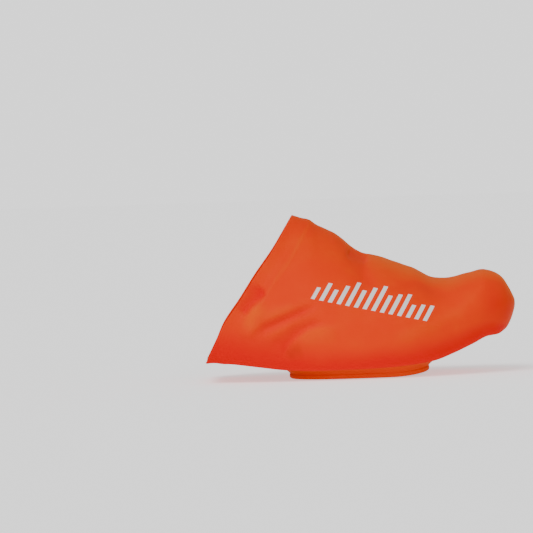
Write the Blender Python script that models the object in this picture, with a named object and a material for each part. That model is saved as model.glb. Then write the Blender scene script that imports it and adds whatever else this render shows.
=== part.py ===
"""Cycling toe cover: a thin latex overshoe for the front half of a road shoe, right foot, in its worn form.

Units are metres. +X runs to the toe, +Y to the inner side of the foot and +Z up. The cover stands on
the flat underside of its cleat rim at Z = 0, and the origin lies on that floor, halfway along it.
"""

import math
from collections import namedtuple

import bmesh
import bpy
import numpy as np

# Driving sizes of the stretched form
COVER_LENGTH = 0.1812  # rear edge of the sole to the tip of the toe
BALL_WIDTH = 0.0998  # widest section, across the ball of the foot
INSTEP_DEPTH = 0.0886  # sole to ridge at the peak of the rear edge
SOLE_CLEARANCE = 0.0050  # floor to the lowest line of the sole
ARCH_RISE = 0.0063  # how far the sole's rear edge lies above its lowest line
TOE_SPRING = 0.0350  # how far the tip of the toe lies above the sole's lowest line
REAR_EDGE_LEAN = 0.0512  # how far the peak of the rear edge lies forward of its foot
CREST_SHIFT = 0.12  # ridge line towards the inner side, as a share of the half width
INNER_FULLNESS = 0.05  # how much fuller the inner side is, in the terms of the side and crown columns
SOLE_CAMBER = 0.0008  # the sole's edges lie this much above its middle

# Walls and joints
UPPER_WALL = 0.0007
HEM_WALL = 0.0012
HEM_WIDTH = 0.0085
HEM_STEP = 0.0008
SOLE_WALL = 0.0010
WRAP_MARGIN = 0.0034  # strip of the upper that turns under the foot, inside the sole's edge
JOINT_GAP = 0.0004

# Cleat opening in the sole, its lip and its rolled rim
OPENING_LENGTH = 0.0750
OPENING_WIDTH = 0.0580
OPENING_AHEAD = 0.485  # share of the opening's length that lies ahead of its widest line
OPENING_START = 0.0509  # rear edge of the sole to the rear end of the opening
OPENING_SQUARENESS = 2.7  # exponent of its outline: 2 is an ellipse, more is squarer
RIM_WIDTH = 0.0034
RIM_DEPTH = 0.0027
RIM_TOE_LIFT = 0.0017  # how far the rim's front end lifts off the floor
RIM_FLAT_SHARE = 0.74  # share of the opening's length, from the rear, on which the rim lies flat
LIP_SETBACK = 0.0004  # how far the lip's foot stands inside the outer side of the rim
LIP_FLARE = 0.0056  # width over which the lip curves out into the sole

# Front end of the sole panel, as shares of the cover's length
SOLE_FRONT = 0.950
SOLE_FRONT_ROUND = 0.800
SOLE_FRONT_SQUARENESS = 2.3

# Mesh fineness
FIRST_ROW = 0.10  # rows behind this share of the length belong to the hem
BODY_ROWS = 18
FRONT_ROWS = 9
TIP_ROWS = 8
WRAP_STEPS = 1
FLANK_STEPS = 6
CROWN_STEPS = 15
REAR_STEPS = 8
PANEL_RINGS = 5

# Each row is one cross section of the form. along is its place as a share of the cover's length;
# half_width and centre are shares of half the ball width, centre counted towards the inner side;
# sole is the flat sole's share of the half width; arch and spring lift the sole's line by shares of
# ARCH_RISE and TOE_SPRING; depth is the share of INSTEP_DEPTH from sole to ridge; widest is the share
# of that depth at which the section is widest; side and crown say how full the wall and the top are.
Section = namedtuple("Section", "along half_width centre sole arch spring depth widest side crown")
SECTIONS = (
    Section(0.000, 0.752, -0.052, 0.82, 1.00, 0.000, 1.190, 0.225, 0.40, 0.43),
    Section(0.081, 0.822, -0.064, 0.83, 0.79, 0.000, 1.130, 0.240, 0.40, 0.43),
    Section(0.162, 0.880, -0.064, 0.83, 0.47, 0.000, 1.070, 0.258, 0.41, 0.44),
    Section(0.255, 0.930, -0.052, 0.84, 0.12, 0.000, 1.016, 0.276, 0.42, 0.44),
    Section(0.332, 0.965, -0.040, 0.85, 0.00, 0.000, 0.989, 0.286, 0.42, 0.44),
    Section(0.376, 0.982, -0.031, 0.86, 0.00, 0.000, 0.940, 0.296, 0.43, 0.45),
    Section(0.432, 0.993, -0.017, 0.86, 0.00, 0.000, 0.874, 0.308, 0.44, 0.46),
    Section(0.464, 0.997, -0.009, 0.86, 0.00, 0.001, 0.822, 0.318, 0.45, 0.47),
    Section(0.505, 1.000, 0.003, 0.86, 0.00, 0.004, 0.752, 0.330, 0.45, 0.49),
    Section(0.540, 0.999, 0.012, 0.86, 0.00, 0.008, 0.737, 0.337, 0.47, 0.50),
    Section(0.577, 0.993, 0.023, 0.86, 0.00, 0.014, 0.714, 0.345, 0.49, 0.51),
    Section(0.630, 0.972, 0.040, 0.85, 0.00, 0.030, 0.665, 0.357, 0.51, 0.53),
    Section(0.690, 0.927, 0.064, 0.84, 0.00, 0.062, 0.597, 0.370, 0.53, 0.55),
    Section(0.727, 0.888, 0.080, 0.82, 0.00, 0.093, 0.548, 0.377, 0.54, 0.56),
    Section(0.785, 0.820, 0.105, 0.79, 0.00, 0.192, 0.493, 0.387, 0.56, 0.58),
    Section(0.850, 0.738, 0.128, 0.75, 0.00, 0.330, 0.464, 0.396, 0.57, 0.60),
    Section(0.902, 0.646, 0.147, 0.70, 0.00, 0.445, 0.440, 0.410, 0.58, 0.61),
    Section(0.936, 0.560, 0.161, 0.62, 0.00, 0.467, 0.412, 0.430, 0.58, 0.61),
    Section(0.962, 0.455, 0.172, 0.48, 0.00, 0.541, 0.345, 0.450, 0.57, 0.59),
    Section(0.980, 0.340, 0.178, 0.32, 0.00, 0.672, 0.235, 0.470, 0.56, 0.57),
    Section(0.993, 0.205, 0.182, 0.15, 0.00, 0.826, 0.120, 0.490, 0.56, 0.56),
    Section(1.000, 0.000, 0.184, 0.00, 0.00, 1.000, 0.000, 0.500, 0.56, 0.56),
)

# The rear edge seen from the side: how far forward it lies, as a share of REAR_EDGE_LEAN, at each
# height above its foot, as a share of INSTEP_DEPTH.
EdgePoint = namedtuple("EdgePoint", "height forward")
REAR_EDGE = (
    EdgePoint(0.00, 0.005),
    EdgePoint(0.12, 0.112),
    EdgePoint(0.22, 0.192),
    EdgePoint(0.38, 0.388),
    EdgePoint(0.54, 0.573),
    EdgePoint(0.71, 0.788),
    EdgePoint(0.86, 0.948),
    EdgePoint(0.94, 1.030),
    EdgePoint(1.25, 1.370),
)

# The rim's cross section, round from its top inner corner: out is the share of RIM_WIDTH away from the
# opening, up the share of RIM_DEPTH above the rim's underside.
RimPoint = namedtuple("RimPoint", "out up")
RIM_PROFILE = (
    RimPoint(0.12, 1.00),
    RimPoint(0.00, 0.78),
    RimPoint(0.00, 0.30),
    RimPoint(0.07, 0.08),
    RimPoint(0.22, 0.00),
    RimPoint(0.70, 0.00),
    RimPoint(0.90, 0.12),
    RimPoint(1.00, 0.38),
    RimPoint(1.00, 0.76),
    RimPoint(0.90, 1.00),
)

# The lip between rim and sole: out is the share of LIP_FLARE, up the share of the height from the rim
# to the sole.
LipPoint = namedtuple("LipPoint", "out up")
LIP_PROFILE = (
    LipPoint(0.00, 0.00),
    LipPoint(0.01, 0.24),
    LipPoint(0.08, 0.52),
    LipPoint(0.24, 0.76),
    LipPoint(0.52, 0.93),
    LipPoint(1.00, 1.00),
)

OUTER, INNER = -1, 1  # the two sides of the foot, as the sign of Y
LATEX_COLOUR = (1.0, 0.105, 0.018, 1.0)
LATEX_ROUGHNESS = 0.45


class Curve:
    """A smooth curve through hand-placed values, without overshoot between them."""

    def __init__(self, places, values):
        self.places = np.array(places, float)
        self.values = np.array(values, float)
        steps = np.diff(self.values) / np.diff(self.places)
        before, after = steps[:-1], steps[1:]
        same_way = before * after > 0
        self.slopes = np.empty(len(self.values))
        self.slopes[0], self.slopes[-1] = steps[0], steps[-1]
        self.slopes[1:-1] = np.where(same_way, 2 * before * after / (before + after + 1e-12), 0.0)

    def at(self, place):
        last = len(self.places) - 2
        i = min(max(int(np.searchsorted(self.places, place)) - 1, 0), last)
        width = self.places[i + 1] - self.places[i]
        t = min(max((place - self.places[i]) / width, 0.0), 1.0)
        start, end = self.values[i], self.values[i + 1]
        rise, fall = self.slopes[i] * width, self.slopes[i + 1] * width
        near = start * (2 * t**3 - 3 * t**2 + 1) + rise * (t**3 - 2 * t**2 + t)
        far = end * (3 * t**2 - 2 * t**3) + fall * (t**3 - t**2)
        return near + far


def roundness(along):
    """Place along the foot, stretched near the tip so that a round toe is a straight run of sections."""
    return 1 - math.sqrt(max(1 - along, 0.0))


CURVES = {
    name: Curve([roundness(row.along) for row in SECTIONS], [getattr(row, name) for row in SECTIONS])
    for name in Section._fields[1:]
}
REAR_EDGE_CURVE = Curve([p.height for p in REAR_EDGE], [p.forward for p in REAR_EDGE])


def share(name, along):
    return CURVES[name].at(roundness(along))


def x_of(along):
    return (along - 0.5) * COVER_LENGTH


def along_of(x):
    return x / COVER_LENGTH + 0.5


def half_width(along):
    return share("half_width", along) * BALL_WIDTH / 2


def centre_line(along):
    return share("centre", along) * BALL_WIDTH / 2


def sole_half_width(along):
    """Half width of the flat sole, out to where the wall starts to turn up."""
    return half_width(along) * share("sole", along)


def sole_line(along):
    """Height of the sole's middle above the floor."""
    return SOLE_CLEARANCE + ARCH_RISE * share("arch", along) + TOE_SPRING * share("spring", along)


def depth(along):
    return INSTEP_DEPTH * share("depth", along)


def sole_height(along, y):
    """Height of the sole's outer face at a point, slightly cambered across."""
    edge = max(sole_half_width(along), 1e-6)
    return sole_line(along) + SOLE_CAMBER * min(abs(y - centre_line(along)) / edge, 1.0) ** 2


def panel_half_width(along):
    """Half width of the sole panel: the flat sole less the wrapped margin, closed in a round front."""
    if along >= SOLE_FRONT - 1e-9:
        return 0.0
    run = max(along - SOLE_FRONT_ROUND, 0.0) / (SOLE_FRONT - SOLE_FRONT_ROUND)
    closing = (1 - run**SOLE_FRONT_SQUARENESS) ** (1 / SOLE_FRONT_SQUARENESS)
    return max(sole_half_width(along) - WRAP_MARGIN, 0.0) * closing


def bezier(a, b, c, d, t):
    return a * (1 - t) ** 3 + 3 * b * t * (1 - t) ** 2 + 3 * c * t**2 * (1 - t) + d * t**3


def wrap_point(along, side, t):
    """On the underside, from the joint with the sole panel at t = 0 to the sole's own edge at t = 1."""
    start, edge = panel_half_width(along), sole_half_width(along)
    y = centre_line(along) + side * (start + (edge - start) * t)
    return x_of(along), y, sole_height(along, y)


def flank_point(along, side, t):
    """The wall's lower part, from the sole's edge round and out to the widest line."""
    bend = 0.60
    edge, out = sole_half_width(along), half_width(along)
    foot = sole_height(along, centre_line(along) + edge)
    widest = sole_line(along) + depth(along) * share("widest", along)
    y = bezier(edge, edge + bend * (out - edge), out, out, t)
    z = bezier(foot, foot, widest - bend * (widest - foot), widest, t)
    return x_of(along), centre_line(along) + side * y, z


def crown_point(along, side, t):
    """The wall's upper part, from the widest line up to the ridge."""
    fuller = INNER_FULLNESS if side == INNER else 0.0
    crest = centre_line(along) + CREST_SHIFT * half_width(along)
    out = centre_line(along) + side * half_width(along)
    widest = sole_line(along) + depth(along) * share("widest", along)
    top = sole_line(along) + depth(along)
    side_handle = share("side", along) + fuller
    crown_handle = share("crown", along) + fuller
    y = bezier(out, out, crest + crown_handle * (out - crest), crest, t)
    z = bezier(widest, widest + side_handle * (top - widest), top, top, t)
    return x_of(along), y, z


def columns():
    """The lines that run from rear edge to toe: a function, a side and a place on it for each."""
    outer = [(wrap_point, OUTER, i / WRAP_STEPS) for i in range(WRAP_STEPS)]
    outer += [(flank_point, OUTER, i / FLANK_STEPS) for i in range(FLANK_STEPS)]
    outer += [(crown_point, OUTER, i / CROWN_STEPS) for i in range(CROWN_STEPS)]
    inner = [(function, INNER, t) for function, _, t in outer]
    return outer + [(crown_point, OUTER, 1.0)] + inner[::-1]


def row_places():
    """Shares of the length at which rows lie, closest where the sole panel and the toe close."""
    places = [FIRST_ROW + (SOLE_FRONT_ROUND - FIRST_ROW) * i / BODY_ROWS for i in range(BODY_ROWS)]
    for i in range(FRONT_ROWS):
        run = math.sin(math.pi / 2 * i / FRONT_ROWS) ** (2 / SOLE_FRONT_SQUARENESS)
        places.append(SOLE_FRONT_ROUND + (SOLE_FRONT - SOLE_FRONT_ROUND) * run)
    for i in range(TIP_ROWS):
        places.append(1 - (1 - SOLE_FRONT) * (1 - i / TIP_ROWS) ** 2)
    return places


def rear_edge_along(function, side, t):
    """Where a column meets the rear edge, found by halving."""
    foot = sole_line(0.0) + SOLE_CAMBER
    low, high = 0.0, 0.75
    for _ in range(40):
        middle = (low + high) / 2
        height = function(middle, side, t)[2] - foot
        forward = REAR_EDGE_LEAN * REAR_EDGE_CURVE.at(max(height / INSTEP_DEPTH, 0.0))
        if height > 0 and middle * COVER_LENGTH < forward:
            low = middle
        else:
            high = middle
    return high if low > 0 else 0.0


def strip(bm, first, second):
    """Faces between two rows of points, as triangles where two corners are one point."""
    for a, b, c, d in zip(first[:-1], first[1:], second[1:], second[:-1]):
        corners = []
        for corner in (a, b, c, d):
            if corner not in corners:
                corners.append(corner)
        if len(corners) > 2:
            bm.faces.new(corners)


def closed_strip(bm, first, second):
    strip(bm, first + first[:1], second + second[:1])


def upper_skin(bm):
    """Outer face of the upper, from the rear edge to the tip, open under the foot for the sole."""
    lines = [(line, rear_edge_along(*line)) for line in columns()]
    hem = HEM_WIDTH / COVER_LENGTH
    step = HEM_STEP / COVER_LENGTH
    layer = bm.verts.layers.deform.verify()
    tip = bm.verts.new(crown_point(1.0, OUTER, 1.0))
    rows = []
    for offset, weight in ((0.0, 1.0), (hem - step, 1.0), (hem, 0.0)):
        row = [bm.verts.new(line[0](start + offset, line[1], line[2])) for line, start in lines]
        for vertex in row:
            vertex[layer][0] = weight
        rows.append(row)
    for place in row_places():
        row = [bm.verts.new(line[0](start + (1 - start) * place, line[1], line[2])) for line, start in lines]
        if panel_half_width(place) == 0:
            bm.verts.remove(row[-1])
            row[-1] = row[0]
        rows.append(row)
    rows.append([tip] * len(lines))
    for first, second in zip(rows[:-1], rows[1:]):
        strip(bm, second, first)


def inset(points, distance):
    """A closed outline, run anticlockwise, with each of its points moved inwards."""
    moved = []
    for before, (x, y), after in zip(points[-1:] + points[:-1], points, points[1:] + points[:1]):
        run_x, run_y = after[0] - before[0], after[1] - before[1]
        length = math.hypot(run_x, run_y)
        moved.append((x - distance * run_y / length, y + distance * run_x / length))
    return moved


def panel_outline():
    """Points round the sole panel: forward on the outer side, back on the inner one and across."""
    hem = HEM_WIDTH / COVER_LENGTH
    step = HEM_STEP / COVER_LENGTH
    places = [0.0, hem - step, hem] + [p for p in row_places() if panel_half_width(p) > 0]
    points = [(x_of(p), centre_line(p) - panel_half_width(p)) for p in places]
    points.append((x_of(SOLE_FRONT), centre_line(SOLE_FRONT)))
    points += [(x_of(p), centre_line(p) + panel_half_width(p)) for p in places[::-1]]
    reach = panel_half_width(0.0)
    for i in range(1, REAR_STEPS):
        points.append((x_of(0.0), centre_line(0.0) + reach * (1 - 2 * i / REAR_STEPS)))
    return inset(points, JOINT_GAP)


def opening_middle():
    x = x_of(0.0) + OPENING_START + OPENING_LENGTH * (1 - OPENING_AHEAD)
    return x, centre_line(along_of(x))


def opening_outline(out):
    """Points round the cleat opening, grown outwards by a distance, one on the way to each panel point."""
    middle_x, middle_y = opening_middle()
    points = []
    for x, y in panel_outline():
        angle = math.atan2(y - middle_y, x - middle_x)
        ahead = OPENING_AHEAD if math.cos(angle) > 0 else 1 - OPENING_AHEAD
        long_axis = OPENING_LENGTH * ahead + out
        short_axis = OPENING_WIDTH / 2 + out
        long_part = abs(math.cos(angle) / long_axis) ** OPENING_SQUARENESS
        short_part = abs(math.sin(angle) / short_axis) ** OPENING_SQUARENESS
        reach = (long_part + short_part) ** (-1 / OPENING_SQUARENESS)
        points.append((middle_x + reach * math.cos(angle), middle_y + reach * math.sin(angle)))
    return points


def rim_floor(x):
    """Height of the rim's underside: flat on the floor, and lifting with the toe spring at its front."""
    ahead = (x - x_of(0.0) - OPENING_START) / OPENING_LENGTH
    run = max((ahead - RIM_FLAT_SHARE) / (1 - RIM_FLAT_SHARE), 0.0)
    return RIM_TOE_LIFT * run**2


def rim_body(bm):
    """The rolled rim: its cross section led round the opening."""
    loops = []
    for profile_point in RIM_PROFILE:
        loop = []
        for x, y in opening_outline(profile_point.out * RIM_WIDTH):
            loop.append(bm.verts.new((x, y, rim_floor(x) + profile_point.up * RIM_DEPTH)))
        loops.append(loop)
    for first, second in zip(loops, loops[1:] + loops[:1]):
        closed_strip(bm, first, second)


def sole_skin(bm):
    """Outer face of the sole panel: the lip round the opening, and rings out to the panel's edge."""
    rings = []
    for lip_point in LIP_PROFILE:
        out = RIM_WIDTH - LIP_SETBACK + LIP_FLARE * lip_point.out
        ring = []
        for x, y in opening_outline(out):
            low = rim_floor(x) + RIM_DEPTH + JOINT_GAP
            high = sole_height(along_of(x), y)
            ring.append((x, y, low + lip_point.up * (high - low)))
        rings.append(ring)
    for i in range(1, PANEL_RINGS + 1):
        ring = []
        for (x0, y0, _), (x1, y1) in zip(rings[len(LIP_PROFILE) - 1], panel_outline()):
            x = x0 + (x1 - x0) * i / PANEL_RINGS
            y = y0 + (y1 - y0) * i / PANEL_RINGS
            ring.append((x, y, sole_height(along_of(x), y)))
        rings.append(ring)
    loops = [[bm.verts.new(point) for point in ring] for ring in rings]
    for first, second in zip(loops[:-1], loops[1:]):
        closed_strip(bm, first, second)


def latex(name, colour):
    material = bpy.data.materials.new(name)
    material.use_nodes = True
    shader = material.node_tree.nodes["Principled BSDF"]
    shader.inputs["Base Color"].default_value = colour
    shader.inputs["Roughness"].default_value = LATEX_ROUGHNESS
    shader.inputs["Metallic"].default_value = 0.0
    return material


def new_object(name, mesh_maker, material):
    mesh = bpy.data.meshes.new(name)
    bm = bmesh.new()
    mesh_maker(bm)
    bm.to_mesh(mesh)
    bm.free()
    mesh.shade_smooth()
    mesh.materials.append(material)
    obj = bpy.data.objects.new(name, mesh)
    bpy.context.scene.collection.objects.link(obj)
    return obj


def thicken(obj, wall):
    """Gives an outer face its wall, inwards."""
    solidify = obj.modifiers.new("wall", "SOLIDIFY")
    solidify.thickness = wall
    solidify.offset = -1
    solidify.use_rim = True
    return solidify


def main():
    for obj in list(bpy.data.objects):
        bpy.data.objects.remove(obj)
    orange = latex("latex", LATEX_COLOUR)
    upper = new_object("upper", upper_skin, orange)
    upper.vertex_groups.new(name="hem")
    wall = thicken(upper, HEM_WALL)
    wall.vertex_group = "hem"
    wall.thickness_vertex_group = UPPER_WALL / HEM_WALL
    sole = new_object("sole", sole_skin, orange)
    thicken(sole, SOLE_WALL)
    new_object("cleat_rim", rim_body, orange)


main()
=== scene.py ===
"""Looks of the latex toe cover: its skin, sole panel and rim, its finish and the studio.

Lengths are metres unless a name says otherwise. +X runs to the toe, +Y to the inner side and +Z up.
"""

import logging
import math
from collections.abc import Sequence
from dataclasses import dataclass, field
from enum import Enum
from typing import ClassVar, NamedTuple

import bpy
import numpy as np
from mathutils import Matrix, Vector

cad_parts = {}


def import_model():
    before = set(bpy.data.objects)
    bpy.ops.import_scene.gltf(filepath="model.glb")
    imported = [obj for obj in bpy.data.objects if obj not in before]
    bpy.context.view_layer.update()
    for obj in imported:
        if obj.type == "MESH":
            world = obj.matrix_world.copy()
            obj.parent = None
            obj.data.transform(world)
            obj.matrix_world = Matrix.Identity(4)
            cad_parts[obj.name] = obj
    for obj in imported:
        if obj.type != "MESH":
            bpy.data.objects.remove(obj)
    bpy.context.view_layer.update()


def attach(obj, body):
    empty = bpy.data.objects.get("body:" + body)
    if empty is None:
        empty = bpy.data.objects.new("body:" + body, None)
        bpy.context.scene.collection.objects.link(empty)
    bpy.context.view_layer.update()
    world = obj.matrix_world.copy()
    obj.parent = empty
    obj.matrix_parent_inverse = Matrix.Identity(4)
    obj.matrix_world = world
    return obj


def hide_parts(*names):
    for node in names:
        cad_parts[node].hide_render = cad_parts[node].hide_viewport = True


LOG = logging.getLogger("toe_cover")
MM = 0.001
TINY = 1e-12  # keeps a division from zero
WHITE = (1.0, 1.0, 1.0, 1.0)

Colour = tuple[float, float, float, float]
Number = float | np.ndarray
Feed = bpy.types.NodeSocket | float | tuple[float, ...]


class Side(Enum):
    """The two sides of the cover, as the sign of Y."""

    OUTER = -1
    INNER = 1


class Place(Enum):
    """The three parts of a cross section that a line of the skin can lie on."""

    WRAP = "wrap"
    FLANK = "flank"
    CROWN = "crown"


def smooth(value: Number, low: Number, high: Number) -> np.ndarray:
    """Rise softly from 0 at low to 1 at high.

    Args:
        value: The places to read.
        low: Where the rise starts.
        high: Where it ends.

    Returns:
        The height of the rise at each place.
    """
    t = np.clip((value - low) / (high - low), 0.0, 1.0)
    return t * t * (3 - 2 * t)


def bump_at(value: Number, middle: float, width: Number) -> np.ndarray:
    """Read a soft bump that is 1 at its middle and falls away on both sides."""
    return np.exp(-(((value - middle) / width) ** 2))


def bezier(a: Number, b: Number, c: Number, d: Number, t: float) -> np.ndarray:
    """Read a cubic curve from a to d with the handles b and c."""
    return a * (1 - t) ** 3 + 3 * b * t * (1 - t) ** 2 + 3 * c * t**2 * (1 - t) + d * t**3


class Curve:
    """A smooth curve through given values, without overshoot between them."""

    def __init__(self, places: Sequence[float] | np.ndarray, values: Sequence[float]) -> None:
        """Work out the slopes.

        Args:
            places: Where the values lie, rising.
            values: The values.
        """
        self.places = np.array(places, float)
        self.values = np.array(values, float)
        steps = np.diff(self.values) / np.diff(self.places)
        before, after = steps[:-1], steps[1:]
        same_way = before * after > 0
        self.slopes = np.empty(len(self.values))
        self.slopes[0], self.slopes[-1] = steps[0], steps[-1]
        self.slopes[1:-1] = np.where(same_way, 2 * before * after / (before + after + TINY), 0.0)

    def at(self, place: Number) -> np.ndarray:
        """Read the curve.

        Args:
            place: Where to read it.

        Returns:
            The values there.
        """
        place = np.asarray(place, float)
        i = np.clip(np.searchsorted(self.places, place) - 1, 0, len(self.places) - 2)
        width = self.places[i + 1] - self.places[i]
        t = np.clip((place - self.places[i]) / width, 0.0, 1.0)
        start, end = self.values[i], self.values[i + 1]
        rise, fall = self.slopes[i] * width, self.slopes[i + 1] * width
        near = start * (2 * t**3 - 3 * t**2 + 1) + rise * (t**3 - 2 * t**2 + t)
        far = end * (3 * t**2 - 2 * t**3) + fall * (t**3 - t**2)
        return near + far


class Section(NamedTuple):
    """One cross section, in shares of the form's driving sizes."""

    along: float
    half_width: float
    centre: float
    sole: float
    arch: float
    spring: float
    depth: float
    widest: float
    side: float
    crown: float


SECTIONS = (
    Section(0.000, 0.752, -0.052, 0.82, 1.00, 0.000, 1.190, 0.225, 0.40, 0.43),
    Section(0.081, 0.822, -0.064, 0.83, 0.79, 0.000, 1.130, 0.240, 0.40, 0.43),
    Section(0.162, 0.880, -0.064, 0.83, 0.47, 0.000, 1.070, 0.258, 0.41, 0.44),
    Section(0.255, 0.930, -0.052, 0.84, 0.12, 0.000, 1.016, 0.276, 0.42, 0.44),
    Section(0.332, 0.965, -0.040, 0.85, 0.00, 0.000, 0.989, 0.286, 0.42, 0.44),
    Section(0.376, 0.982, -0.031, 0.86, 0.00, 0.000, 0.940, 0.296, 0.43, 0.45),
    Section(0.432, 0.993, -0.017, 0.86, 0.00, 0.000, 0.874, 0.308, 0.44, 0.46),
    Section(0.464, 0.997, -0.009, 0.86, 0.00, 0.001, 0.822, 0.318, 0.45, 0.47),
    Section(0.505, 1.000, 0.003, 0.86, 0.00, 0.004, 0.752, 0.330, 0.45, 0.49),
    Section(0.540, 0.999, 0.012, 0.86, 0.00, 0.008, 0.737, 0.337, 0.47, 0.50),
    Section(0.577, 0.993, 0.023, 0.86, 0.00, 0.014, 0.714, 0.345, 0.49, 0.51),
    Section(0.630, 0.972, 0.040, 0.85, 0.00, 0.030, 0.665, 0.357, 0.51, 0.53),
    Section(0.690, 0.927, 0.064, 0.84, 0.00, 0.062, 0.597, 0.370, 0.53, 0.55),
    Section(0.727, 0.888, 0.080, 0.82, 0.00, 0.093, 0.548, 0.377, 0.54, 0.56),
    Section(0.785, 0.820, 0.105, 0.79, 0.00, 0.192, 0.493, 0.387, 0.56, 0.58),
    Section(0.850, 0.738, 0.128, 0.75, 0.00, 0.330, 0.464, 0.396, 0.57, 0.60),
    Section(0.902, 0.646, 0.147, 0.70, 0.00, 0.445, 0.440, 0.410, 0.58, 0.61),
    Section(0.936, 0.560, 0.161, 0.62, 0.00, 0.467, 0.412, 0.430, 0.58, 0.61),
    Section(0.962, 0.455, 0.172, 0.48, 0.00, 0.541, 0.345, 0.450, 0.57, 0.59),
    Section(0.980, 0.340, 0.178, 0.32, 0.00, 0.672, 0.235, 0.470, 0.56, 0.57),
    Section(0.993, 0.205, 0.182, 0.15, 0.00, 0.826, 0.120, 0.490, 0.56, 0.56),
    Section(1.000, 0.000, 0.184, 0.00, 0.00, 1.000, 0.000, 0.500, 0.56, 0.56),
)


class EdgePoint(NamedTuple):
    """How far forward the rear edge lies, in shares of its lean, at a share of the instep depth."""

    height: float
    forward: float


REAR_EDGE = (
    EdgePoint(0.00, 0.005),
    EdgePoint(0.12, 0.112),
    EdgePoint(0.22, 0.192),
    EdgePoint(0.38, 0.388),
    EdgePoint(0.54, 0.573),
    EdgePoint(0.71, 0.788),
    EdgePoint(0.86, 0.948),
    EdgePoint(0.94, 1.030),
    EdgePoint(1.25, 1.370),
)


@dataclass
class StretchedForm:
    """The outer surface of the cover, in its worn shape."""

    length: float = 0.1812
    ball_width: float = 0.0998
    instep_depth: float = 0.0886
    sole_clearance: float = 0.0050
    arch_rise: float = 0.0063
    toe_spring: float = 0.0350
    rear_edge_lean: float = 0.0512
    crest_shift: float = 0.12
    inner_fullness: float = 0.05
    flank_handle: float = 0.6
    sole_camber: float = 0.0008
    camber_width: float = 0.0120
    least_edge: float = 0.001 * MM
    wrap_margin: float = 0.0034
    sole_front: float = 0.950
    sole_front_round: float = 0.800
    sole_front_squareness: float = 2.3
    edge_search_end: float = 0.75
    edge_search_steps: int = 36
    curves: dict[str, Curve] = field(init=False)
    rear_edge: Curve = field(init=False)

    def __post_init__(self) -> None:
        """Fit a curve to each column of the sections and to the rear edge."""
        places = [1 - math.sqrt(1 - row.along) for row in SECTIONS]
        self.curves = {
            name: Curve(places, [getattr(row, name) for row in SECTIONS])
            for name in Section._fields[1:]
        }
        heights, forwards = zip(*REAR_EDGE)
        self.rear_edge = Curve(heights, forwards)

    def share(self, name: str, along: Number) -> np.ndarray:
        """Read one column of the sections at shares of the length."""
        return self.curves[name].at(1 - np.sqrt(np.clip(1 - np.asarray(along, float), 0.0, 1.0)))

    def x_of(self, along: Number) -> np.ndarray:
        """Turn shares of the length into X."""
        return (np.asarray(along, float) - 0.5) * self.length

    def along_of(self, x: Number) -> np.ndarray:
        """Turn X into shares of the length."""
        return np.asarray(x, float) / self.length + 0.5

    def half_width(self, along: Number) -> np.ndarray:
        """Half the width of the widest line."""
        return self.share("half_width", along) * self.ball_width / 2

    def centre_line(self, along: Number) -> np.ndarray:
        """Y of the middle of each section."""
        return self.share("centre", along) * self.ball_width / 2

    def crest_line(self, along: Number) -> np.ndarray:
        """Y of the ridge line."""
        return self.centre_line(along) + self.crest_shift * self.half_width(along)

    def sole_half_width(self, along: Number) -> np.ndarray:
        """Half width of the flat sole, out to where the wall starts to turn up."""
        return self.half_width(along) * self.share("sole", along)

    def sole_line(self, along: Number) -> np.ndarray:
        """Height of the sole's middle above the floor."""
        arch, spring = self.share("arch", along), self.share("spring", along)
        return self.sole_clearance + (self.arch_rise * arch + self.toe_spring * spring)

    def depth(self, along: Number) -> np.ndarray:
        """Height from sole to ridge."""
        return self.instep_depth * self.share("depth", along)

    def sole_height(self, along: np.ndarray, y: np.ndarray) -> np.ndarray:
        """Height of the sole's outer face, whose camber fades out at the narrow tip.

        Args:
            along: Shares of the length.
            y: Places across the cover.

        Returns:
            The height above the floor at each place.
        """
        edge = np.maximum(self.sole_half_width(along), self.least_edge)
        across = np.minimum(np.abs(y - self.centre_line(along)) / edge, 1.0)
        camber = self.sole_camber * np.minimum(edge / self.camber_width, 1.0) ** 2
        return self.sole_line(along) + camber * across**2

    def panel_half_width(self, along: Number) -> np.ndarray:
        """Half width of the sole panel, closed in a round front.

        Args:
            along: Shares of the length.

        Returns:
            The half width at each of them.
        """
        along = np.asarray(along, float)
        closing_length = self.sole_front - self.sole_front_round
        run = np.clip((along - self.sole_front_round) / closing_length, 0.0, 1.0)
        power = self.sole_front_squareness
        closing = np.clip(1 - run**power, 0.0, 1.0) ** (1 / power)
        return np.maximum(self.sole_half_width(along) - self.wrap_margin, 0.0) * closing

    def point(self, place: Place, side: Side, t: float, along: np.ndarray) -> np.ndarray:
        """Points on the outer surface.

        Args:
            place: The part of the section.
            side: The side of the cover.
            t: Share of the way along that part, upwards.
            along: Shares of the length.

        Returns:
            An array of X, Y and Z, one row for each share of the length.
        """
        centre = self.centre_line(along)
        edge, out = self.sole_half_width(along), self.half_width(along)
        widest = self.sole_line(along) + self.depth(along) * self.share("widest", along)
        if place is Place.WRAP:
            start = self.panel_half_width(along)
            y = centre + side.value * (start + (edge - start) * t)
            z = self.sole_height(along, y)
        elif place is Place.FLANK:
            base = self.sole_height(along, centre + edge)
            handle = self.flank_handle
            y = centre + side.value * bezier(edge, edge + handle * (out - edge), out, out, t)
            z = bezier(base, base, widest - handle * (widest - base), widest, t)
        else:
            fuller = self.inner_fullness if side is Side.INNER else 0.0
            crest = self.crest_line(along)
            edge_y = centre + side.value * out
            top = self.sole_line(along) + self.depth(along)
            side_handle = self.share("side", along) + fuller
            crown_handle = self.share("crown", along) + fuller
            y = bezier(edge_y, edge_y, crest + crown_handle * (edge_y - crest), crest, t)
            z = bezier(widest, widest + side_handle * (top - widest), top, top, t)
        return np.stack([self.x_of(along), y, z], axis=-1)

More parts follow.
